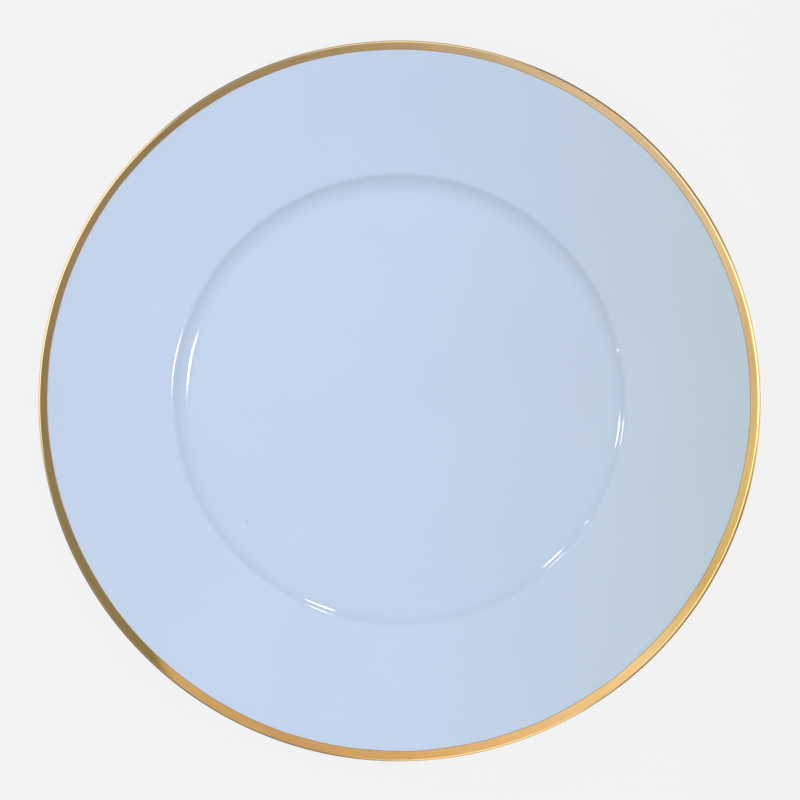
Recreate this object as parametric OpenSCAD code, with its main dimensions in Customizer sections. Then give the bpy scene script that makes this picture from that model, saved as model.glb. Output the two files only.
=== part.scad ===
// China dinner plate with a wide rim and a gilded edge.
//
// The clay body is one turned shape, fired once. Over it lie the glaze, which is wiped
// off the seat of the foot ring and so falls into two coats, the gold line that a brush
// leaves on the turning edge, and the printed mark on the underside.
// The plate stands on its foot ring at z = 0, with its axis along Z.

/* [Overall] */
// Diameter across the gilded edge
plate_d = 270; // [220:1:325]
// Height from the table to the top of the edge
plate_h = 22; // [18:0.5:27]

/* [Well] */
// Diameter where the rim turns down into the well
well_d = 170; // [140:1:204]
// Drop from the rim to the floor of the well
well_depth = 4; // [3.2:0.1:5]
// Steepness of the well's wall
wall_angle = 44; // [36:1:53]
// Radius of the shoulder between the rim and the wall
shoulder_r = 3; // [1.5:0.1:4]
// Radius of the hollow between the wall and the floor
root_r = 9.5; // [6:0.5:12]

/* [Clay thickness] */
// Floor of the well
floor_t = 4; // [3:0.1:5.5]
// Wall of the well, and the rim where it meets the wall
wall_t = 3.8; // [3:0.1:5]
// Rim at its rounded edge
edge_t = 2.8; // [2.2:0.1:3.6]
// Flat left between the edge's upper and lower rounds
edge_flat = 0.2; // [0.1:0.05:0.4]

/* [Rim] */
// How far the middle of the rim is dished below a straight line
rim_dish = 0.6; // [0.2:0.1:1.2]

/* [Foot ring] */
// How far the foot ring's outer side stands in from the well's diameter
foot_inset = 8.5; // [8:0.5:20]
// Width of the foot ring at its seat, edges included
foot_w = 3.4; // [2.6:0.1:5]
// Height of the foot ring below the underside
foot_h = 3; // [2.4:0.1:4]
// Slope of the foot ring's two sides from the vertical
foot_draft = 25; // [15:1:30]
// Radius of the seat's two edges
seat_edge_r = 0.8; // [0.4:0.1:1]
// Radius of the coves beside the foot ring
cove_r = 1.8; // [1:0.1:2.4]
// Radius of the heel under the well's wall
heel_r = 5; // [3:0.5:6]

/* [Glaze] */
// Thickness of the glaze
glaze_t = 0.2; // [0.15:0.05:0.4]
// Height of bare clay left above the seat
bare_h = 1; // [0.8:0.1:1.4]

/* [Gold line] */
// Width of the gold on the face, from the edge inwards
gold_w = 3.7; // [3:0.1:6]
// Width of the gold on the back, past the rounded edge
gold_back_w = 0.9; // [0.5:0.1:2]
// Thickness of the gold
gold_t = 0.05; // [0.05:0.01:0.1]

/* [Printed mark] */
// Diameter of the mark's outer ring
mark_d = 26; // [18:1:40]
// Width of the printed lines
mark_line = 0.45; // [0.3:0.05:0.8]
// Number of leaves in the wreath
mark_leaves = 16; // [8:1:20]
// Length of a leaf
mark_leaf_l = 4; // [2.5:0.1:5]
// Width of a leaf
mark_leaf_w = 1.3; // [0.8:0.1:1.8]
// Thickness of the print
mark_t = 0.05; // [0.03:0.01:0.1]

/* [Hidden] */

TURN_FN = 180;      // facets of a full turn in previews
ARC_STEP = 6;       // degrees of one segment in a rounded corner
ARC_LEAST = 3;      // fewest segments in a rounded corner
RIM_CURVE = 0.8;    // share of the rim's half width that its gentle curve takes up
STAR_LEAVES = 4;    // leaves in the middle of the printed mark

// Heights of the clay's surfaces
under_z = foot_h;
floor_z = under_z + floor_t;
shoulder_z = floor_z + well_depth;

// The clay's rounded edge, inside the two coats that cover it
coats_t = glaze_t + gold_t;
edge_r = (edge_t - edge_flat) / 2;
edge_x = plate_d / 2 - coats_t;
edge_centre = [edge_x - edge_r, plate_h - coats_t - edge_r];

// The rim's face runs from the shoulder by a low middle point to a tangent of the edge
shoulder = [well_d / 2, shoulder_z];
rim_middle = [(shoulder.x + edge_centre.x) / 2, (shoulder_z + plate_h - coats_t) / 2 - rim_dish];
inner_slope = slope_of(rim_middle - shoulder);
outer_slope = slope_of(edge_centre - rim_middle) + asin(edge_r / norm(edge_centre - rim_middle));
rim_r = RIM_CURVE * (rim_middle.x - shoulder.x) / tan((outer_slope - inner_slope) / 2);
edge_top = along(rim_middle, outer_slope, edge_x);
gold_start = along(rim_middle, outer_slope, plate_d / 2 - gold_w);

// The back follows the face at the clay's thickness
root = [shoulder.x - well_depth / tan(wall_angle), floor_z];
root_fit_r = min(root_r, (norm(shoulder - root)
    - shoulder_r * tan((wall_angle - inner_slope) / 2)) / tan(wall_angle / 2));
back_shoulder = behind(root, shoulder, rim_middle, wall_t);
back_middle = behind(shoulder, rim_middle, edge_top, (wall_t + edge_t) / 2);
edge_under = edge_top - [0, edge_t / cos(outer_slope)];
back_slope = slope_of(edge_under - back_middle);
gold_end = along(back_middle, back_slope,
    edge_x - edge_r * tan((90 - back_slope) / 2) * cos(back_slope) - gold_back_w);
heel = [back_shoulder.x - (back_shoulder.y - under_z) / tan(wall_angle), under_z];

// The foot ring
foot_out = well_d / 2 - foot_inset;
foot_in = foot_out - foot_w;
foot_lean = tan(foot_draft);

// The clay's outline as corners [x, z, radius], from the axis across the face, round the
// edge and along the back to the axis again. Its outer side lies to the left.
CORNERS = [
    [0, floor_z, 0],
    [root.x, root.y, root_fit_r],
    [shoulder.x, shoulder.y, shoulder_r],
    [rim_middle.x, rim_middle.y, rim_r],
    [gold_start.x, gold_start.y, 0],
    [edge_top.x, edge_top.y, edge_r],
    [edge_under.x, edge_under.y, edge_r],
    [gold_end.x, gold_end.y, 0],
    [back_middle.x, back_middle.y, rim_r],
    [back_shoulder.x, back_shoulder.y, shoulder_r + wall_t],
    [heel.x, heel.y, heel_r],
    [foot_out + foot_h * foot_lean, under_z, cove_r],
    [foot_out + bare_h * foot_lean, bare_h, 0],
    [foot_out, 0, seat_edge_r],
    [foot_in, 0, seat_edge_r],
    [foot_in - bare_h * foot_lean, bare_h, 0],
    [foot_in - foot_h * foot_lean, under_z, cove_r],
    [0, under_z, 0],
];
// Places in that list
FACE_AXIS = 0;
GOLD_START = 4;
GOLD_END = 7;
GLAZE_END = 12;
BASE_START = 15;
BASE_AXIS = 17;

function slope_of(v) = atan2(v.y, v.x);
function unit(v) = v / norm(v);
function left_of(v) = [-v.y, v.x];
function along(p, slope, x) = [x, p.y + (x - p.x) * tan(slope)];

// Corner b of the line a, b, c, moved t to the left of it
function moved(a, b, c, t) =
    let (n = left_of(unit(b - a)), m = left_of(unit(c - b))) b + t * (n + m) / (1 + n * m);
function behind(a, b, c, t) = moved(a, b, c, -t);

// Corner i of the outline, moved t outwards. The ends stay on the axis.
function place(i) = [CORNERS[i][0], CORNERS[i][1]];
function out_corner(i, t) =
    i == FACE_AXIS ? place(i) + [0, t]
    : i == BASE_AXIS ? place(i) - [0, t]
    : moved(place(i - 1), place(i), place(i + 1), t);

// The points of corner i, moved t outwards, with its round drawn out
function round_corner(i, t) =
    CORNERS[i][2] == 0 ? [out_corner(i, t)]
    : let (
        a = unit(place(i) - place(i - 1)),
        b = unit(place(i + 1) - place(i)),
        side = sign(cross(a, b)),
        turn = acos(a * b),
        r = CORNERS[i][2] - side * t,
        start = out_corner(i, t) - a * r * tan(turn / 2),
        centre = start + side * r * left_of(a),
        steps = max(ARC_LEAST, ceil(turn / ARC_STEP)),
        first = slope_of(start - centre)
    ) [for (k = [0 : steps]) centre + r * [cos(first + side * turn * k / steps), sin(first + side * turn * k / steps)]];

// The outline from corner a to corner b, moved t outwards
function outline(a, b, t) = [for (i = [a : b]) each round_corner(i, t)];
function reversed(list) = [for (i = [len(list) - 1 : -1 : 0]) list[i]];

// A turned shell between two distances from the clay
module coat(a, b, inner_t, outer_t) {
    rotate_extrude($fn = TURN_FN)
        polygon(concat(outline(a, b, outer_t), reversed(outline(a, b, inner_t))));
}

// The fired clay, one piece with its foot ring
module porcelain_body() {
    color("#eceae4")
        rotate_extrude($fn = TURN_FN)
            polygon(outline(FACE_AXIS, BASE_AXIS, 0));
}

// The glaze over the face, the edge and the back, down to the foot ring's outer side
module face_and_back_glaze() {
    color("#c3d4ee") coat(FACE_AXIS, GLAZE_END, 0, glaze_t);
}

// The glaze on the underside, inside the foot ring
module base_glaze() {
    color("#c3d4ee") coat(BASE_START, BASE_AXIS, 0, glaze_t);
}

// The gold line, over the glaze on both sides of the edge
module gold_edge_band() {
    color("#c8963e") coat(GOLD_START, GOLD_END, glaze_t, glaze_t + gold_t);
}

module ring(r, line) {
    difference() {
        circle(r = r, $fn = TURN_FN);
        circle(r = r - line, $fn = TURN_FN);
    }
}

// A pointed leaf along Y: where two equal circles overlap
module leaf(l, w) {
    r = (l * l + w * w) / (4 * w);
    intersection() {
        translate([r - w / 2, 0]) circle(r = r, $fn = TURN_FN);
        translate([w / 2 - r, 0]) circle(r = r, $fn = TURN_FN);
    }
}

// A circle of leaves that point outwards, with their middles at radius r
module leaves(count, r, l) {
    for (k = [0 : count - 1])
        rotate(360 * k / count) translate([0, r]) leaf(l, mark_leaf_w);
}

// A wreath of plain leaves between two rings, round a star of four leaves
module printed_mark() {
    gap = mark_line;
    wreath_r = mark_d / 2 - mark_line - gap - mark_leaf_l / 2;
    inner_r = wreath_r - mark_leaf_l / 2 - gap;
    star_leaf_l = inner_r - mark_line - 2 * gap;
    color("#6f7f6a")
        translate([0, 0, under_z - glaze_t - mark_t])
            linear_extrude(mark_t) {
                ring(mark_d / 2, mark_line);
                ring(inner_r, mark_line);
                leaves(mark_leaves, wreath_r, mark_leaf_l);
                leaves(STAR_LEAVES, gap + star_leaf_l / 2, star_leaf_l);
            }
}

porcelain_body();
face_and_back_glaze();
base_glaze();
gold_edge_band();
printed_mark();
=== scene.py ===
import math

import bmesh
import bpy
from mathutils import Euler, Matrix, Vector, noise


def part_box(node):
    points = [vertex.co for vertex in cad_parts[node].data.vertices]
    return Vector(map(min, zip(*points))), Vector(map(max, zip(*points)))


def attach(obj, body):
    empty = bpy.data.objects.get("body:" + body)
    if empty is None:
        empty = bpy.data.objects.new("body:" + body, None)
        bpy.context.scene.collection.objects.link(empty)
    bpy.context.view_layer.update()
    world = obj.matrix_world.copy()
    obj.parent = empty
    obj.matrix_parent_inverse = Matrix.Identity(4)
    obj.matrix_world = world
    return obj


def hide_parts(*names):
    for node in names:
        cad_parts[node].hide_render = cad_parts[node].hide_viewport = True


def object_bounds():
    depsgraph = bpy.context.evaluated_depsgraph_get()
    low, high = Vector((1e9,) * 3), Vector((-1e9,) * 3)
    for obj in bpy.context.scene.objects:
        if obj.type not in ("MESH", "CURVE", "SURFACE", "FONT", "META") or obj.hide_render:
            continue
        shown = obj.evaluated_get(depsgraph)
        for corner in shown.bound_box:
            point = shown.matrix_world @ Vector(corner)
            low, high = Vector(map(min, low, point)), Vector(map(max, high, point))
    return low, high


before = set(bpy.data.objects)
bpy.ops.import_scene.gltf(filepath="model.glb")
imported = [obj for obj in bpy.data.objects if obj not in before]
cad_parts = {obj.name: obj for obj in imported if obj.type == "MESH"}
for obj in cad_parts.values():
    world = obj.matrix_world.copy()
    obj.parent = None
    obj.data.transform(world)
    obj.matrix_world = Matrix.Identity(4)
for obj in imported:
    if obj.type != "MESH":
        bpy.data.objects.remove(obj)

cad_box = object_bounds()

# ---------------------------------------------------------------------------------------
# Camera. The plate lies flat and is looked down on, from a few degrees off its axis,
# through a long lens that leaves a finger's width round the gold line.
# ---------------------------------------------------------------------------------------
CAMERA_DISTANCE = 2.5
CAMERA_SENSOR = 0.036
CAMERA_LEAN = Euler((math.radians(-3.7), 0, 0))
FRAME_WIDTH = 1.1065 * (cad_box[1].x - cad_box[0].x)
FRAME_CENTRE = Vector((0.0002, 0.0009, cad_box[1].z))

camera = bpy.data.objects.new("camera", bpy.data.cameras.new("camera"))
bpy.context.scene.collection.objects.link(camera)
camera.data.sensor_width = CAMERA_SENSOR * 1000
camera.data.lens = 1000 * CAMERA_SENSOR * CAMERA_DISTANCE / FRAME_WIDTH
camera.rotation_euler = CAMERA_LEAN
camera.location = FRAME_CENTRE + CAMERA_LEAN.to_matrix() @ Vector((0, 0, CAMERA_DISTANCE))
bpy.context.scene.camera = camera
bpy.context.scene.view_settings.view_transform = "Standard"

# ---------------------------------------------------------------------------------------
# Clay body. One piece of porcelain, jiggered on a turning mould and fired, with its foot
# ring left bare. Only the foot ring's seat shows, ground smooth and a little grey from use.
# ---------------------------------------------------------------------------------------
MM = 0.001
WELL_RADIUS = 85 * MM
WELL_DEPTH = 4 * MM
WALL_SLOPE = math.radians(44)
SHOULDER_RADIUS = 3 * MM
ROOT_RADIUS = 9.5 * MM
FLOOR_THICKNESS = 4 * MM
WALL_THICKNESS = 3.8 * MM
EDGE_THICKNESS = 2.8 * MM
EDGE_RADIUS = 1.3 * MM
RIM_DISH = 0.6 * MM
RIM_CURVE = 0.8
FOOT_INSET = 8.5 * MM
FOOT_WIDTH = 3.4 * MM
FOOT_DRAFT = math.radians(25)
SEAT_EDGE_RADIUS = 0.8 * MM
COVE_RADIUS = 1.8 * MM
HEEL_RADIUS = 5 * MM
BARE_HEIGHT = 1 * MM
GOLD_WIDTH = 3.7 * MM
GOLD_BACK_WIDTH = 0.9 * MM
TURN_STEPS = 352
UNDER_STEPS = 256
WEDGES = 16
ARC_STEP = math.radians(4)
ARC_LEAST = 6

clay_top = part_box("porcelain_body")[1]
glaze_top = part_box("face_and_back_glaze")[1]
gold_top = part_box("gold_edge_band")[1]
under_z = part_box("base_glaze")[1].z
glaze_thickness = glaze_top.x - clay_top.x
gold_thickness = gold_top.x - glaze_top.x


def slope_of(v):
    return math.atan2(v.y, v.x)


def left_of(v):
    return Vector((-v.y, v.x))


def at_x(start, slope, x):
    """The point at x on the line from start."""
    return Vector((x, start.y + (x - start.x) * math.tan(slope)))


def pushed(before, corner, after, distance):
    """Corner, moved to the left of the line through its neighbours."""
    n = left_of((corner - before).normalized())
    m = left_of((after - corner).normalized())
    return corner + distance * (n + m) / (1 + n.dot(m))


# The face: floor, wall, dished rim and a tangent to the rounded edge
floor_z = under_z + FLOOR_THICKNESS
shoulder = Vector((WELL_RADIUS, floor_z + WELL_DEPTH))
root = Vector((WELL_RADIUS - WELL_DEPTH / math.tan(WALL_SLOPE), floor_z))
edge_centre = Vector((clay_top.x - EDGE_RADIUS, clay_top.z - EDGE_RADIUS))
rim_middle = Vector(((shoulder.x + edge_centre.x) / 2, (shoulder.y + clay_top.z) / 2 - RIM_DISH))
inner_slope = slope_of(rim_middle - shoulder)
outer_slope = slope_of(edge_centre - rim_middle) + math.asin(EDGE_RADIUS / (edge_centre - rim_middle).length)
rim_radius = RIM_CURVE * (rim_middle.x - shoulder.x) / math.tan((outer_slope - inner_slope) / 2)
edge_over = at_x(rim_middle, outer_slope, clay_top.x)
gold_from = at_x(rim_middle, outer_slope, gold_top.x - GOLD_WIDTH)

# The back, at the clay's thickness behind the face
back_shoulder = pushed(root, shoulder, rim_middle, -WALL_THICKNESS)
back_middle = pushed(shoulder, rim_middle, edge_over, -(WALL_THICKNESS + EDGE_THICKNESS) / 2)
edge_under = edge_over - Vector((0, EDGE_THICKNESS / math.cos(outer_slope)))
back_slope = slope_of(edge_under - back_middle)
edge_turn = EDGE_RADIUS * math.tan((math.pi / 2 - back_slope) / 2) * math.cos(back_slope)
gold_to = at_x(back_middle, back_slope, clay_top.x - edge_turn - GOLD_BACK_WIDTH)
heel = Vector((back_shoulder.x - (back_shoulder.y - under_z) / math.tan(WALL_SLOPE), under_z))
foot_outside = WELL_RADIUS - FOOT_INSET
foot_inside = foot_outside - FOOT_WIDTH
foot_lean = math.tan(FOOT_DRAFT)

# The whole outline, from the axis across the face, round the edge, and back underneath
CLAY = [
    (Vector((0, floor_z)), 0),
    (root, ROOT_RADIUS),
    (shoulder, SHOULDER_RADIUS),
    (rim_middle, rim_radius),
    (gold_from, 0),
    (edge_over, EDGE_RADIUS),
    (edge_under, EDGE_RADIUS),
    (gold_to, 0),
    (back_middle, rim_radius),
    (back_shoulder, SHOULDER_RADIUS + WALL_THICKNESS),
    (heel, HEEL_RADIUS),
    (Vector((foot_outside + under_z * foot_lean, under_z)), COVE_RADIUS),
    (Vector((foot_outside + BARE_HEIGHT * foot_lean, BARE_HEIGHT)), 0),
    (Vector((foot_outside, 0)), SEAT_EDGE_RADIUS),
    (Vector((foot_inside, 0)), SEAT_EDGE_RADIUS),
    (Vector((foot_inside - BARE_HEIGHT * foot_lean, BARE_HEIGHT)), 0),
    (Vector((foot_inside - under_z * foot_lean, under_z)), COVE_RADIUS),
    (Vector((0, under_z)), 0),
]
FACE_AXIS, GOLD_FROM, GOLD_TO, GLAZE_TO, BASE_FROM, BASE_AXIS = 0, 4, 7, 12, 15, 17


def layer(first, last, distance):
    """The clay's corners from first to last, all moved out by distance."""
    corners = []
    for i in range(first, last + 1):
        point, radius = CLAY[i]
        if i in (FACE_AXIS, BASE_AXIS):
            up = 1 if i == FACE_AXIS else -1
            corners.append((point + Vector((0, up * distance)), 0))
            continue
        before, after = CLAY[i - 1][0], CLAY[i + 1][0]
        side = math.copysign(1, (point - before).cross(after - point))
        moved = pushed(before, point, after, distance)
        corners.append((moved, radius - side * distance if radius else 0))
    return corners


def draw_outline(bm, corners, closed=False):
    """Draws a line through the corners, turning an arc in each one that has a radius."""
    points = [corner for corner, _ in corners]
    first = last = None

    def line_to(point):
        nonlocal first, last
        vert = bm.verts.new((point.x, 0, point.y))
        if last:
            bm.edges.new((last, vert))
        first, last = first or vert, vert

    for i, (point, radius) in enumerate(corners):
        if not radius:
            line_to(point)
            continue
        a = (point - points[i - 1]).normalized()
        b = (points[(i + 1) % len(points)] - point).normalized()
        turn = a.angle(b)
        side = math.copysign(1, a.cross(b))
        start = point - a * radius * math.tan(turn / 2)
        centre = start + side * radius * left_of(a)
        line_to(start)
        arc = bmesh.ops.spin(
            bm, geom=[last], cent=(centre.x, 0, centre.y), axis=(0, -1, 0), angle=side * turn,
            steps=max(ARC_LEAST, math.ceil(turn / ARC_STEP)))
        last = next(g for g in arc["geom_last"] if isinstance(g, bmesh.types.BMVert))
    if closed:
        bm.edges.new((last, first))


def turned(corners, closed=False, steps=TURN_STEPS):
    """A solid turned from an outline, one wedge first and then the wedges that complete the turn."""
    bm = bmesh.new()
    draw_outline(bm, corners, closed)
    wedge = 2 * math.pi / WEDGES
    bmesh.ops.spin(
        bm, geom=bm.verts[:] + bm.edges[:], cent=(0, 0, 0), axis=(0, 0, 1),
        angle=wedge, steps=steps // WEDGES)
    bmesh.ops.spin(
        bm, geom=bm.verts[:] + bm.edges[:] + bm.faces[:], cent=(0, 0, 0), axis=(0, 0, 1),
        angle=2 * math.pi - wedge, steps=WEDGES - 1, use_duplicate=True)
    bmesh.ops.remove_doubles(bm, verts=bm.verts, dist=MM / 1000)
    bmesh.ops.recalc_face_normals(bm, faces=bm.faces)
    return bm


def finished_piece(name, bm, material):
    """Makes the piece from its mesh, smooth where it curves and true where it is flat."""
    mesh = bpy.data.meshes.new(name)
    bm.to_mesh(mesh)
    bm.free()
    mesh.shade_smooth()
    mesh.materials.append(material)
    piece = bpy.data.objects.new(name, mesh)
    bpy.context.scene.collection.objects.link(piece)
    flats = piece.modifiers.new("flats_stay_flat", "WEIGHTED_NORMAL")
    flats.keep_sharp = True
    return piece


def put(tree, kind, settings=None, **inputs):
    """Adds a shader node. An input is a value, or the output that feeds it."""
    node = tree.nodes.new("ShaderNode" + kind)
    for key, value in (settings or {}).items():
        setattr(node, key, value)
    for key, value in inputs.items():
        socket = node.inputs[key.replace("_", " ")]
        if isinstance(value, bpy.types.NodeSocket):
            tree.links.new(value, socket)
        else:
            socket.default_value = value
    return node


def sums(tree, operation, *terms):
    """The result of a sum on one, two or three terms."""
    node = put(tree, "Math", {"operation": operation})
    for socket, term in zip(node.inputs, terms):
        if isinstance(term, bpy.types.NodeSocket):
            tree.links.new(term, socket)
        else:
            socket.default_value = term
    return node.outputs[0]


def fade(tree, value, none, full):
    """Rises smoothly from 0 where value is none to 1 where it is full."""
    return put(
        tree, "MapRange", {"interpolation_type": "SMOOTHSTEP"}, Value=value, From_Min=none, From_Max=full,
    ).outputs[0]


def tint(tree, amount, plain, tinted):
    """One colour turning into another by an amount."""
    node = put(tree, "Mix", {"data_type": "RGBA"})
    for socket, value in zip((node.inputs[0], node.inputs[6], node.inputs[7]), (amount, plain, tinted)):
        if isinstance(value, bpy.types.NodeSocket):
            tree.links.new(value, socket)
        else:
            socket.default_value = value
    return node.outputs[2]


def clouds(tree, place, size, detail=2):
    """Soft random patches, about so many metres across."""
    return put(tree, "TexNoise", Vector=place, Scale=1 / size, Detail=detail).outputs[0]


def on_piece(tree):
    """Places on the piece, in metres from the plate's centre."""
    return put(tree, "TexCoord").outputs["Object"]


def new_material(name):
    material = bpy.data.materials.new(name)
    material.use_nodes = True
    return material, material.node_tree, material.node_tree.nodes["Principled BSDF"]


def new_group(name, inputs, outputs):
    """A node group with its sockets, and its two ends."""
    group = bpy.data.node_groups.new(name, "ShaderNodeTree")
    for in_out, sockets in (("INPUT", inputs), ("OUTPUT", outputs)):
        for socket, kind in sockets.items():
            group.interface.new_socket(socket, in_out=in_out, socket_type="NodeSocket" + kind)
    return group, group.nodes.new("NodeGroupInput").outputs, group.nodes.new("NodeGroupOutput").inputs


def put_group(tree, group, **inputs):
    return put(tree, "Group", {"node_tree": group}, **inputs).outputs


# Firing leaves every ceramic surface a little uneven in colour, with rare iron specks
SPECK_SPACING = 9 * MM
SPECK_COLOUR = (0.16, 0.12, 0.09, 1)
SPECK_STRENGTH = 0.55
# Only one cell in eight holds a speck
SPECK_FREE_SHARE = 0.875

fired, given, result = new_group(
    "fired_colour", {"Colour": "Color", "Patch Size": "Float", "Unevenness": "Float", "Speck Size": "Float"},
    {"Colour": "Color"})
spot = on_piece(fired)
patches = put(
    fired, "TexNoise", Vector=spot, Scale=sums(fired, "DIVIDE", 1, given["Patch Size"]), Detail=3).outputs[0]
shade = sums(fired, "MULTIPLY_ADD", sums(fired, "SUBTRACT", patches, 0.5), given["Unevenness"], 1)
uneven = put(fired, "VectorMath", {"operation": "SCALE"}, Vector=given["Colour"], Scale=shade).outputs[0]
cell = put(fired, "TexVoronoi", Vector=spot, Scale=1 / SPECK_SPACING)
from_speck = sums(fired, "MULTIPLY", cell.outputs["Distance"], SPECK_SPACING)
chance = put(fired, "SeparateColor", Color=cell.outputs["Color"]).outputs[0]
speck_size = sums(fired, "MULTIPLY", given["Speck Size"], fade(fired, chance, SPECK_FREE_SHARE, 1))
speck = sums(fired, "LESS_THAN", from_speck, speck_size)
speck = sums(fired, "MULTIPLY", speck, SPECK_STRENGTH)
fired.links.new(tint(fired, speck, uneven, SPECK_COLOUR), result["Colour"])

CLAY_COLOUR = (0.80, 0.77, 0.70, 1)
CLAY_ROUGHNESS = 0.75
CLAY_GRAIN_SIZE = 0.25 * MM
CLAY_GRAIN_DEPTH = 0.03 * MM
SEAT_GREY = (0.36, 0.35, 0.33, 1)
SEAT_WEAR_HEIGHT = 0.35 * MM
SEAT_WEAR_PATCH = 4 * MM
SEAT_SMOOTHED = 0.25

clay_material, tree, shader = new_material("bare_porcelain")
spot = on_piece(tree)
colour = put_group(
    tree, fired, Colour=CLAY_COLOUR, Patch_Size=12 * MM, Unevenness=0.10, Speck_Size=0.25 * MM)["Colour"]
# The seat picks up grey from the tables it is slid along
height = put(tree, "SeparateXYZ", Vector=spot).outputs["Z"]
wear = fade(tree, clouds(tree, spot, SEAT_WEAR_PATCH, 4), 0.35, 0.7)
rubbed = sums(tree, "MULTIPLY", fade(tree, height, SEAT_WEAR_HEIGHT, 0), wear)
tree.links.new(tint(tree, rubbed, colour, SEAT_GREY), shader.inputs["Base Color"])
tree.links.new(
    sums(tree, "MULTIPLY_ADD", rubbed, -SEAT_SMOOTHED, CLAY_ROUGHNESS), shader.inputs["Roughness"])
grain = clouds(tree, spot, CLAY_GRAIN_SIZE, 4)
rough_face = put(tree, "Bump", Height=grain, Distance=CLAY_GRAIN_DEPTH, Strength=0.6)
tree.links.new(rough_face.outputs[0], shader.inputs["Normal"])

clay = finished_piece("clay_body", turned(layer(FACE_AXIS, BASE_AXIS, 0), steps=UNDER_STEPS), clay_material)
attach(clay, "root")
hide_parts("porcelain_body")

# ---------------------------------------------------------------------------------------
# Face and back glaze. The plate is dipped, so one coat covers the face, the edge and the
# back. It is wiped off the foot ring, and there its rim melts to a small bead.
# ---------------------------------------------------------------------------------------
GLAZE_BEAD = 0.15 * MM
GLAZE_COLOUR = (0.50, 0.61, 0.815, 1)
GLAZE_ROUGHNESS = 0.05
GLAZE_SCRATCHED = 0.16
SMEAR_SIZE = 30 * MM
SMEAR_DULLNESS = 0.04
WAVE_SIZE = 24 * MM
WAVE_DEPTH = 0.05 * MM
PEEL_SIZE = 1.5 * MM
PEEL_DEPTH = 0.0012 * MM
# A short grey metal mark that a knife left on the floor of the well
KNIFE_MARK_PLACE = (-57.2 * MM, -46.1 * MM, 7.2 * MM)
KNIFE_MARK_TURN = (0, 0, math.radians(-40))
KNIFE_MARK_SIZE = (1.1 * MM, 0.28 * MM, 0.6 * MM)
KNIFE_MARK_COLOUR = (0.34, 0.42, 0.60, 1)
KNIFE_MARK_GRAIN = 0.4 * MM
KNIFE_MARK_DULLNESS = 0.3

# Hairline scratches, from wiping and cutlery, that only take the shine off
SCRATCH_LENGTH = 14 * MM
SCRATCH_WIDTH = 0.12 * MM
SCRATCH_TURNS = (12, 71, 128)
SCRATCH_RISE = (0.74, 0.80)
scratched, given, result = new_group("hairline_scratches", {"Reach": "Float"}, {"Amount": "Float"})
spot = on_piece(scratched)
total = 0
for turn in SCRATCH_TURNS:
    along = put(
        scratched, "Mapping", Vector=spot, Rotation=(0, 0, math.radians(turn)),
        Scale=(1 / SCRATCH_LENGTH, 1 / SCRATCH_WIDTH, 1)).outputs[0]
    line = put(scratched, "TexNoise", Vector=along, Scale=1, Detail=0).outputs[0]
    total = sums(scratched, "MAXIMUM", total, fade(scratched, line, *SCRATCH_RISE))
scratched.links.new(sums(scratched, "MULTIPLY", total, given["Reach"]), result["Amount"])

# A small oval blemish at one place, that fades out across its edge
BLEMISH_FADE = (1.1, 0.6)
blemish, given, result = new_group(
    "small_blemish", {"Place": "Vector", "Turn": "Vector", "Size": "Vector"}, {"Amount": "Float"})
inside = put(
    blemish, "Mapping", {"vector_type": "TEXTURE"}, Vector=on_piece(blemish), Location=given["Place"],
    Rotation=given["Turn"], Scale=given["Size"]).outputs[0]
away = put(blemish, "VectorMath", {"operation": "LENGTH"}, Vector=inside).outputs["Value"]
blemish.links.new(fade(blemish, away, *BLEMISH_FADE), result["Amount"])

glaze_material, tree, shader = new_material("pale_blue_glaze")
spot = on_piece(tree)
colour = put_group(
    tree, fired, Colour=GLAZE_COLOUR, Patch_Size=55 * MM, Unevenness=0.05, Speck_Size=0.16 * MM)["Colour"]
knife_mark = put_group(
    tree, blemish, Place=KNIFE_MARK_PLACE, Turn=KNIFE_MARK_TURN, Size=KNIFE_MARK_SIZE)["Amount"]
broken = fade(tree, clouds(tree, spot, KNIFE_MARK_GRAIN), 0.3, 0.6)
knife_mark = sums(tree, "MULTIPLY", knife_mark, broken)
tree.links.new(tint(tree, knife_mark, colour, KNIFE_MARK_COLOUR), shader.inputs["Base Color"])
wiped = put_group(tree, scratched, Reach=GLAZE_SCRATCHED)["Amount"]
smears = fade(tree, clouds(tree, spot, SMEAR_SIZE, 3), 0.45, 0.75)
smears = sums(tree, "MULTIPLY", smears, SMEAR_DULLNESS)
dullness = sums(tree, "ADD", sums(tree, "ADD", wiped, smears), GLAZE_ROUGHNESS)
tree.links.new(
    sums(tree, "MULTIPLY_ADD", knife_mark, KNIFE_MARK_DULLNESS, dullness), shader.inputs["Roughness"])
# It flows out almost level: long low waves, and a trace of orange peel
waves = put(tree, "Bump", Height=clouds(tree, spot, WAVE_SIZE, 1), Distance=WAVE_DEPTH)
peel = put(
    tree, "Bump", Height=clouds(tree, spot, PEEL_SIZE, 1), Distance=PEEL_DEPTH, Normal=waves.outputs[0])
tree.links.new(peel.outputs[0], shader.inputs["Normal"])

outer = layer(FACE_AXIS, GLAZE_TO, glaze_thickness)
outer[-1] = (outer[-1][0], GLAZE_BEAD)
glaze = finished_piece("glaze_coat", turned(outer + layer(FACE_AXIS, GLAZE_TO, 0)[::-1]), glaze_material)
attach(glaze, "root")
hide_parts("face_and_back_glaze")

# ---------------------------------------------------------------------------------------
# Base glaze. The same glaze from the same dip, over the underside inside the foot ring. It
# is cut off from the main coat when the seat is wiped, and melts to a bead there too.
# ---------------------------------------------------------------------------------------
outer = layer(BASE_FROM, BASE_AXIS, glaze_thickness)
outer[0] = (outer[0][0], GLAZE_BEAD)
base = finished_piece(
    "base_glaze_coat", turned(outer[::-1] + layer(BASE_FROM, BASE_AXIS, 0), steps=UNDER_STEPS),
    glaze_material)
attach(base, "root")
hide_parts("base_glaze")

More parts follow.
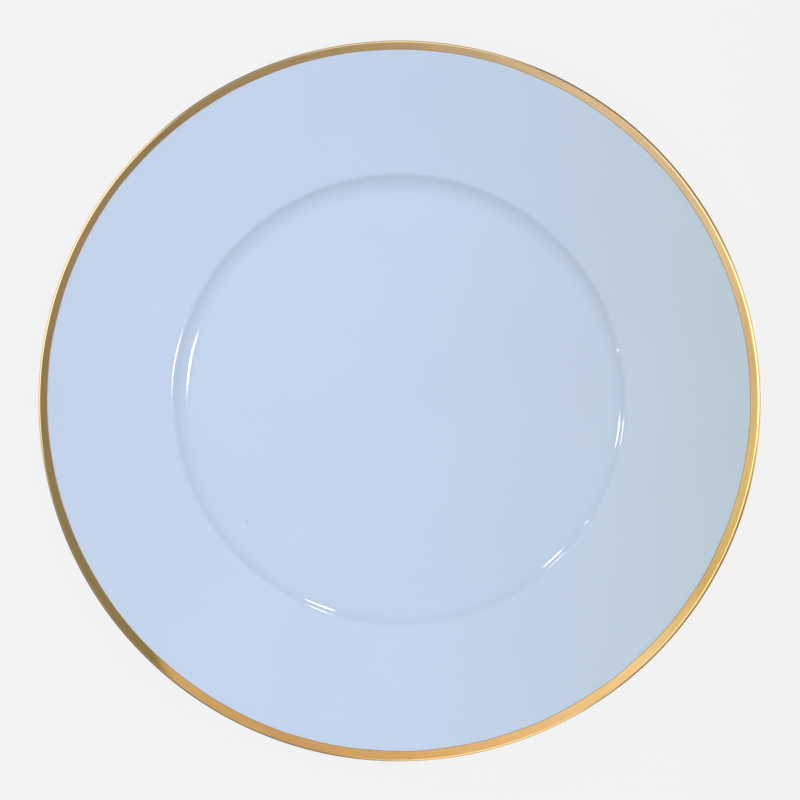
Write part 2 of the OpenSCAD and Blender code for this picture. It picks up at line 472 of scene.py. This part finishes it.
# ---------------------------------------------------------------------------------------
# Gold line. Bright gold, laid on the fired glaze with a brush while the plate turns, then
# fired again. It is olive on one side and paler on the far side: the gold's own colour with
# painted reflection, darker where it mirrors a darker room. Its inner edge wavers a little.
# ---------------------------------------------------------------------------------------
GOLD_STEPS = 720
# The wheel's centre was off by this much when the line was laid
GOLD_OFF_CENTRE = Vector((-0.26 * MM, 0.34 * MM))
GOLD_WAVER = 0.16 * MM
GOLD_WAVER_TURNS = 9
BACK_EDGE_WAVER = 5
GOLD_ROUGHNESS = 0.08
GOLD_SCRATCHED = 0.15
# The brush's hairs leave fine streaks along the line
HAIR_WIDTH = 0.22 * MM
HAIR_WAVES = 60
HAIR_DEPTH = 0.004 * MM
HAIR_CONTRAST = 0.5
HAIR_ROUGHNESS = 0.12
# Where the colours round the line start, at a sharp step of painted reflection
COLOURS_START = math.radians(-135.9)
# Colours round the line, from the step all the way round: the gold's own colour with painted reflection,
# darker and lighter where it mirrors a darker and a brighter room
GOLD_COLOURS_WITH_PAINTED_REFLECTION = [
    (0.00, (0.27, 0.18, 0.06, 1)),
    (0.06, (0.25, 0.18, 0.08, 1)),
    (0.15, (0.27, 0.19, 0.08, 1)),
    (0.20, (0.32, 0.22, 0.11, 1)),
    (0.26, (0.27, 0.19, 0.09, 1)),
    (0.36, (0.40, 0.27, 0.13, 1)),
    (0.40, (0.50, 0.34, 0.19, 1)),
    (0.46, (0.70, 0.48, 0.28, 1)),
    (0.53, (0.68, 0.49, 0.27, 1)),
    (0.56, (0.77, 0.52, 0.26, 1)),
    (0.60, (0.65, 0.42, 0.19, 1)),
    (0.66, (0.71, 0.49, 0.18, 1)),
    (0.71, (0.64, 0.41, 0.14, 1)),
    (0.76, (0.90, 0.61, 0.27, 1)),
    (0.83, (0.79, 0.47, 0.20, 1)),
    (0.88, (0.68, 0.38, 0.14, 1)),
    (0.93, (0.58, 0.32, 0.12, 1)),
    (0.99, (0.62, 0.37, 0.14, 1)),
    (1.00, (0.27, 0.18, 0.06, 1)),
]
# The painted reflection's sharp step, where the colours start and end, runs askew and ragged across the line
STEP_SKEW = 0.010
STEP_RAGGED = 0.004
# The rounded edge has one plain, darker tone all round, in place of the colours round the line
EDGE_TONE_FROM = 134.1 * MM
EDGE_TONE_TO = 134.5 * MM
EDGE_TONE_COLOUR = (0.46, 0.34, 0.18, 1)
FRINGE_WIDTH = 0.35 * MM
FRINGE_COLOUR = (0.30, 0.20, 0.14, 1)
FRINGE_BREAKS = (0.1, 0.45)
FRINGE_DULLNESS = 0.25
FRINGE_BARED = 0.5
# A grain of gold is missing at one place on the outer edge
NICK_TURN = math.radians(-27.2)
NICK_RADIUS = 133.9 * MM
NICK_SIZE = (0.7 * MM, 0.25 * MM, 1 * MM)
NICK_COLOUR = (0.92, 0.84, 0.76, 1)

gold_material, tree, shader = new_material("bright_gold")
spot = on_piece(tree)
turned_spot = put(
    tree, "Mapping", Vector=spot, Rotation=(0, 0, -math.pi - COLOURS_START)).outputs[0]
part_turn = put(tree, "TexGradient", {"gradient_type": "RADIAL"}, Vector=turned_spot).outputs["Fac"]
round_from_start = sums(tree, "SUBTRACT", 1, part_turn)
middle_out = put(
    tree, "VectorMath", {"operation": "LENGTH"},
    Vector=put(tree, "Mapping", Vector=spot, Scale=(1, 1, 0)).outputs[0]).outputs["Value"]
hairs = put(
    tree, "CombineXYZ", X=sums(tree, "DIVIDE", middle_out, HAIR_WIDTH),
    Y=sums(tree, "MULTIPLY", round_from_start, HAIR_WAVES)).outputs[0]
streaks = put(tree, "TexNoise", Vector=hairs, Scale=1, Detail=2).outputs[0]
from_edge = put(tree, "Attribute", {"attribute_name": "from_edge"}).outputs["Fac"]
ragged = sums(tree, "MULTIPLY", streaks, STEP_RAGGED)
step_shift = sums(tree, "MULTIPLY_ADD", from_edge, STEP_SKEW / GOLD_WIDTH, ragged)
# The gold's own colour with painted reflection, round the line
ramp = put(tree, "ValToRGB", Fac=sums(tree, "ADD", round_from_start, step_shift))
stops = ramp.color_ramp.elements
stops[0].position, stops[0].color = GOLD_COLOURS_WITH_PAINTED_REFLECTION[0]
stops[1].position, stops[1].color = GOLD_COLOURS_WITH_PAINTED_REFLECTION[-1]
for position, colour in GOLD_COLOURS_WITH_PAINTED_REFLECTION[1:-1]:
    stops.new(position).color = colour
shade = sums(tree, "MULTIPLY_ADD", sums(tree, "SUBTRACT", streaks, 0.5), HAIR_CONTRAST, 1)
edge_toned = fade(tree, middle_out, EDGE_TONE_FROM, EDGE_TONE_TO)
colour = tint(tree, edge_toned, ramp.outputs["Color"], EDGE_TONE_COLOUR)
colour = put(tree, "VectorMath", {"operation": "SCALE"}, Vector=colour, Scale=shade).outputs[0]
# At its two edges the gold is thin and fires brown
fringe = sums(
    tree, "MULTIPLY", fade(tree, from_edge, FRINGE_WIDTH, FRINGE_WIDTH / 4),
    fade(tree, streaks, *FRINGE_BREAKS))
colour = tint(tree, fringe, colour, FRINGE_COLOUR)
nick = put_group(
    tree, blemish, Turn=(0, 0, NICK_TURN), Size=NICK_SIZE,
    Place=(NICK_RADIUS * math.cos(NICK_TURN), NICK_RADIUS * math.sin(NICK_TURN), gold_top.z))["Amount"]
tree.links.new(tint(tree, nick, colour, NICK_COLOUR), shader.inputs["Base Color"])
bared = sums(tree, "MAXIMUM", nick, sums(tree, "MULTIPLY", fringe, FRINGE_BARED))
tree.links.new(sums(tree, "SUBTRACT", 1, bared), shader.inputs["Metallic"])
wiped = put_group(tree, scratched, Reach=GOLD_SCRATCHED)["Amount"]
streaked = sums(tree, "MULTIPLY_ADD", streaks, HAIR_ROUGHNESS, GOLD_ROUGHNESS)
dullness = sums(tree, "ADD", wiped, streaked)
tree.links.new(sums(tree, "MULTIPLY_ADD", fringe, FRINGE_DULLNESS, dullness), shader.inputs["Roughness"])
tree.links.new(
    put(tree, "Bump", Height=streaks, Distance=HAIR_DEPTH).outputs[0], shader.inputs["Normal"])

outer = layer(GOLD_FROM, GOLD_TO, glaze_thickness + gold_thickness)
bm = turned(outer + layer(GOLD_FROM, GOLD_TO, glaze_thickness)[::-1], closed=True, steps=GOLD_STEPS)
face_edge, back_edge = outer[0][0], outer[-1][0]
edge_middle_z = (face_edge.y + back_edge.y) / 2
from_edge = bm.verts.layers.float.new("from_edge")
for vert in bm.verts:
    out = vert.co.xy.normalized()
    radius = vert.co.xy.length
    on_face = vert.co.z > edge_middle_z
    edge, slope = (face_edge, outer_slope) if on_face else (back_edge, back_slope)
    waver = noise.noise(Vector((*(out * GOLD_WAVER_TURNS), 0 if on_face else BACK_EDGE_WAVER)))
    waver *= GOLD_WAVER
    shift = waver + (GOLD_OFF_CENTRE.dot(out) if on_face else 0)
    if abs(radius - edge.x) < 2 * gold_thickness:
        vert.co.xy += out * shift
        vert.co.z += shift * math.tan(slope)
        vert[from_edge] = 0
    else:
        vert[from_edge] = (radius - edge.x - shift) / math.cos(slope)
gold = finished_piece("gold_line", bm, gold_material)
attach(gold, "root")
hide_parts("gold_edge_band")

# ---------------------------------------------------------------------------------------
# Printed mark. A plain wreath in one colour, printed on the base glaze by transfer and
# fired on. A few dots of it did not take.
# ---------------------------------------------------------------------------------------
MARK_LINE = 0.45 * MM
MARK_LEAVES = 16
STAR_LEAVES = 4
LEAF_LENGTH = 4 * MM
LEAF_WIDTH = 1.3 * MM
LEAF_ARC_STEPS = 10
RING_STEPS = 128
PRINT_COLOUR = (0.16, 0.21, 0.14, 1)
PRINT_ROUGHNESS = 0.22
MISSED_DOT_SIZE = 0.35 * MM
MISSED_RISE = (0.66, 0.72)

mark_low, mark_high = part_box("printed_mark")
wreath_radius = mark_high.y - 2 * MARK_LINE - LEAF_LENGTH / 2
inner_ring = wreath_radius - LEAF_LENGTH / 2 - MARK_LINE
star_leaf_length = inner_ring - 3 * MARK_LINE


def printed_ring(bm, radius):
    """A flat ring as deep as the print, turned about the axis."""
    part = bmesh.new()
    inside = radius - MARK_LINE
    draw_outline(part, [
        (Vector((radius, mark_low.z)), 0), (Vector((radius, mark_high.z)), 0),
        (Vector((inside, mark_high.z)), 0), (Vector((inside, mark_low.z)), 0)], closed=True)
    bmesh.ops.spin(
        part, geom=part.verts[:] + part.edges[:], cent=(0, 0, 0), axis=(0, 0, 1), angle=2 * math.pi,
        steps=RING_STEPS, use_merge=True)
    join(bm, part)


def printed_leaves(bm, count, radius, length):
    """Pointed leaves that stand outwards in a circle, each one where two arcs meet."""
    part = bmesh.new()
    arc_radius = (length ** 2 + LEAF_WIDTH ** 2) / (4 * LEAF_WIDTH)
    arc_turn = 2 * math.asin(length / 2 / arc_radius)
    tip = part.verts.new((0, radius - length / 2, mark_low.z))
    for side in (-1, 1):
        arc = bmesh.ops.spin(
            part, geom=[tip], cent=(side * (arc_radius - LEAF_WIDTH / 2), radius, mark_low.z),
            axis=(0, 0, 1), angle=arc_turn, steps=LEAF_ARC_STEPS)
        tip = next(g for g in arc["geom_last"] if isinstance(g, bmesh.types.BMVert))
    bmesh.ops.remove_doubles(part, verts=part.verts, dist=MM / 1000)
    leaf = bmesh.ops.contextual_create(part, geom=part.edges)["faces"]
    deep = bmesh.ops.extrude_face_region(part, geom=leaf)["geom"]
    bmesh.ops.translate(
        part, verts=[g for g in deep if isinstance(g, bmesh.types.BMVert)],
        vec=(0, 0, mark_high.z - mark_low.z))
    bmesh.ops.spin(
        part, geom=part.verts[:] + part.edges[:] + part.faces[:], cent=(0, 0, 0), axis=(0, 0, 1),
        angle=2 * math.pi * (count - 1) / count, steps=count - 1, use_duplicate=True)
    join(bm, part)


def join(bm, part):
    """Adds one mesh to another, with its faces pointing outwards."""
    bmesh.ops.remove_doubles(part, verts=part.verts, dist=MM / 1000)
    bmesh.ops.recalc_face_normals(part, faces=part.faces)
    mesh = bpy.data.meshes.new("part")
    part.to_mesh(mesh)
    part.free()
    bm.from_mesh(mesh)
    bpy.data.meshes.remove(mesh)


bm = bmesh.new()
printed_ring(bm, mark_high.y)
printed_ring(bm, inner_ring)
printed_leaves(bm, MARK_LEAVES, wreath_radius, LEAF_LENGTH)
printed_leaves(bm, STAR_LEAVES, MARK_LINE + star_leaf_length / 2, star_leaf_length)

mark_material, tree, shader = new_material("grey_green_print")
spot = on_piece(tree)
colour = put_group(
    tree, fired, Colour=PRINT_COLOUR, Patch_Size=6 * MM, Unevenness=0.5, Speck_Size=0)["Colour"]
missed = fade(tree, clouds(tree, spot, MISSED_DOT_SIZE, 1), *MISSED_RISE)
tree.links.new(tint(tree, missed, colour, GLAZE_COLOUR), shader.inputs["Base Color"])
shader.inputs["Roughness"].default_value = PRINT_ROUGHNESS
mark = finished_piece("wreath_mark", bm, mark_material)
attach(mark, "root")
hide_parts("printed_mark")

# ---------------------------------------------------------------------------------------
# Floor and light. A pale table in a pale room, with soft boxes overhead and behind. Small
# bright windows glint in the glaze alone, and pale screens show in the gold alone.
# ---------------------------------------------------------------------------------------
FLOOR_RADIUS = 3
FLOOR_SIDES = 64
FLOOR_COLOUR = (0.06, 0.06, 0.06, 1)
FLOOR_ROUGHNESS = 0.9
FLOOR_GLOW = 0.84
# Painted light and shade on the table, seen only in what the plate mirrors: how bright the table glows to
# mirrored rays, by direction: part of a turn, brightness
PAINTED_FLOOR_SHINE = [
    (0.000, 1.5), (0.025, 1.2), (0.060, 0.35), (0.220, 0.30), (0.250, 1.1), (0.330, 1.1),
    (0.360, 0.30), (0.450, 0.30), (0.475, 1.3), (0.550, 1.3), (0.580, 0.35), (0.680, 0.30),
    (0.700, 1.0), (0.790, 1.0), (0.820, 0.40), (0.850, 0.50), (0.875, 1.5), (1.000, 1.5),
]

bm = bmesh.new()
bmesh.ops.create_circle(bm, cap_ends=True, radius=FLOOR_RADIUS, segments=FLOOR_SIDES)
mesh = bpy.data.meshes.new("floor")
bm.to_mesh(mesh)
bm.free()
floor = bpy.data.objects.new("floor", mesh)
bpy.context.scene.collection.objects.link(floor)
floor_material, tree, shader = new_material("floor")
shader.inputs["Base Color"].default_value = FLOOR_COLOUR
shader.inputs["Roughness"].default_value = FLOOR_ROUGHNESS
shader.inputs["Specular IOR Level"].default_value = 0
shader.inputs["Emission Color"].default_value = (1, 1, 1, 1)
# Painted light and shade on the table by direction, which only mirrored rays see
direction = put(tree, "TexGradient", {"gradient_type": "RADIAL"}, Vector=on_piece(tree)).outputs["Fac"]
shine = put(tree, "FloatCurve", Value=direction)
curve = shine.mapping.curves[0]
curve.points[0].location, curve.points[1].location = PAINTED_FLOOR_SHINE[0], PAINTED_FLOOR_SHINE[-1]
for place in PAINTED_FLOOR_SHINE[1:-1]:
    curve.points.new(*place)
for point in curve.points:
    point.handle_type = "VECTOR"
shine.mapping.use_clip = False
shine.mapping.update()
in_gloss = put(tree, "LightPath").outputs["Is Glossy Ray"]
glow = put(tree, "Mix", {"data_type": "FLOAT"}, Factor=in_gloss, A=FLOOR_GLOW, B=shine.outputs[0])
tree.links.new(glow.outputs[0], shader.inputs["Emission Strength"])
mesh.materials.append(floor_material)

ROOM_LIGHT = (0.59, 0.59, 0.29, 1)
ROOM_SHINE = (1.0, 1.0, 0.95, 1)
ROOM_WALL = (0.86, 0.87, 0.88, 1)
world = bpy.data.worlds.new("room")
bpy.context.scene.world = world
world.use_nodes = True
tree = world.node_tree
ray = put(tree, "LightPath").outputs
room = tint(tree, ray["Is Glossy Ray"], ROOM_LIGHT, ROOM_SHINE)
seen = tint(tree, ray["Is Camera Ray"], room, ROOM_WALL)
tree.links.new(seen, tree.nodes["Background"].inputs["Color"])


def soft_box(
        name, place, aim, width, height, radiance, colour=(1, 1, 1), shades=True, shines=True, only=None):
    """A lamp that faces aim. At a radiance of 1 it is as bright as white paper on the table."""
    data = bpy.data.lights.new(name, "AREA")
    data.shape = "RECTANGLE" if shades else "ELLIPSE"
    data.size, data.size_y = width, height
    data.energy = radiance * math.pi * width * height * (1 if shades else math.pi / 4)
    data.color = colour
    lamp = bpy.data.objects.new(name, data)
    lamp.location = place
    lamp.rotation_euler = (Vector(aim) - Vector(place)).to_track_quat("-Z", "Y").to_euler()
    lamp.visible_camera = False
    lamp.visible_diffuse = shades
    lamp.visible_glossy = shines
    if only:
        lamp.light_linking.receiver_collection = only
    bpy.context.scene.collection.objects.link(lamp)
    return lamp


PLATE_MIDDLE = (0, 0, 0)
STRIP_OVER = (-0.055, 0, 0)
STRIP_PLACE = (-0.055, 0, 0.6)
STRIP_SPREAD = math.radians(62)
STRIP_COLOUR = (0.5, 0.5, 1.0)
CEILING_PLACE = (0, 0, 1.5)
CEILING_COLOUR = (1, 1, 0.8)
BACK_PLACE = (-0.11, 1.22, 0.86)
overhead = soft_box(
    "overhead_strip", STRIP_PLACE, STRIP_OVER, width=0.3, height=1.4, radiance=0.8,
    colour=STRIP_COLOUR, shines=False)
overhead.data.spread = STRIP_SPREAD
soft_box(
    "ceiling_box", CEILING_PLACE, PLATE_MIDDLE, width=1, height=1, radiance=0.85,
    colour=CEILING_COLOUR, shines=False)
soft_box("back_box", BACK_PLACE, PLATE_MIDDLE, width=0.6, height=0.6, radiance=3, shines=False)


def one_piece(piece):
    """A collection with one piece in it, for a lamp that shines in that piece alone."""
    collection = bpy.data.collections.new("shines_in_" + piece.name)
    collection.objects.link(piece)
    return collection


# Each window is a glint in the wall of the well at one place. It lies where a ray from the
# camera goes on to, when the wall mirrors it there.
WINDOW_DISTANCE = 2
WALL_PLACE = (0.083, 0.009)
WINDOWS = [
    # name, turn of the glint round the plate, slope of the wall there, width, height, radiance
    ("window_a", -8, 39.3, 8, 6, 40),
    ("window_b", -45.7, 39.6, 6.5, 4.5, 40),
    ("window_c", -111, 39.4, 8.6, 4.5, 45),
    ("window_d", -190.3, 17.6, 8.2, 9, 32),
    ("window_e", -33.5, 44, 0.8, 3, 30),
    ("window_f", -347, 44, 1, 3, 16),
]
glints_in = one_piece(glaze)
for name, turn, slope, width, height, radiance in WINDOWS:
    turn, slope = math.radians(turn), math.radians(slope)
    place = Vector((WALL_PLACE[0] * math.cos(turn), WALL_PLACE[0] * math.sin(turn), WALL_PLACE[1]))
    up = Vector((-math.sin(slope) * math.cos(turn), -math.sin(slope) * math.sin(turn), math.cos(slope)))
    to_camera = (camera.location - place).normalized()
    away = 2 * up.dot(to_camera) * up - to_camera
    soft_box(
        name, place + WINDOW_DISTANCE * away, place, 2 * WINDOW_DISTANCE * math.tan(math.radians(width / 2)),
        2 * WINDOW_DISTANCE * math.tan(math.radians(height / 2)), radiance, shades=False, only=glints_in)

# Pale screens round the table, that the gold line shows in its rounded edge
SCREENS = [
    # name, turn round the table, leans of its upper and lower end from upright, half its turn, radiance
    ("screen_over_right", 0, 34, 56, 50, 0.6),
    ("screen_right_glow", 0, 30, 54, 42, 0.9),
    ("screen_right", 5, 50, 89, 16, 2.1),
    ("screen_left", 162, 58, 89, 31, 2.9),
    ("screen_back", 88, 70, 89, 18, 1.6),
    ("screen_front", -78, 66, 89, 18, 1.6),
]
shows_in = one_piece(gold)
for name, turn, top, bottom, half_turn, radiance in SCREENS:
    turn, lean = math.radians(turn), math.radians((top + bottom) / 2)
    place = WINDOW_DISTANCE * Vector(
        (math.sin(lean) * math.cos(turn), math.sin(lean) * math.sin(turn), math.cos(lean)))
    soft_box(
        name, place, PLATE_MIDDLE, 2 * WINDOW_DISTANCE * math.sin(lean) * math.tan(math.radians(half_turn)),
        2 * WINDOW_DISTANCE * math.tan(math.radians((bottom - top) / 2)), radiance,
        shades=False, only=shows_in)
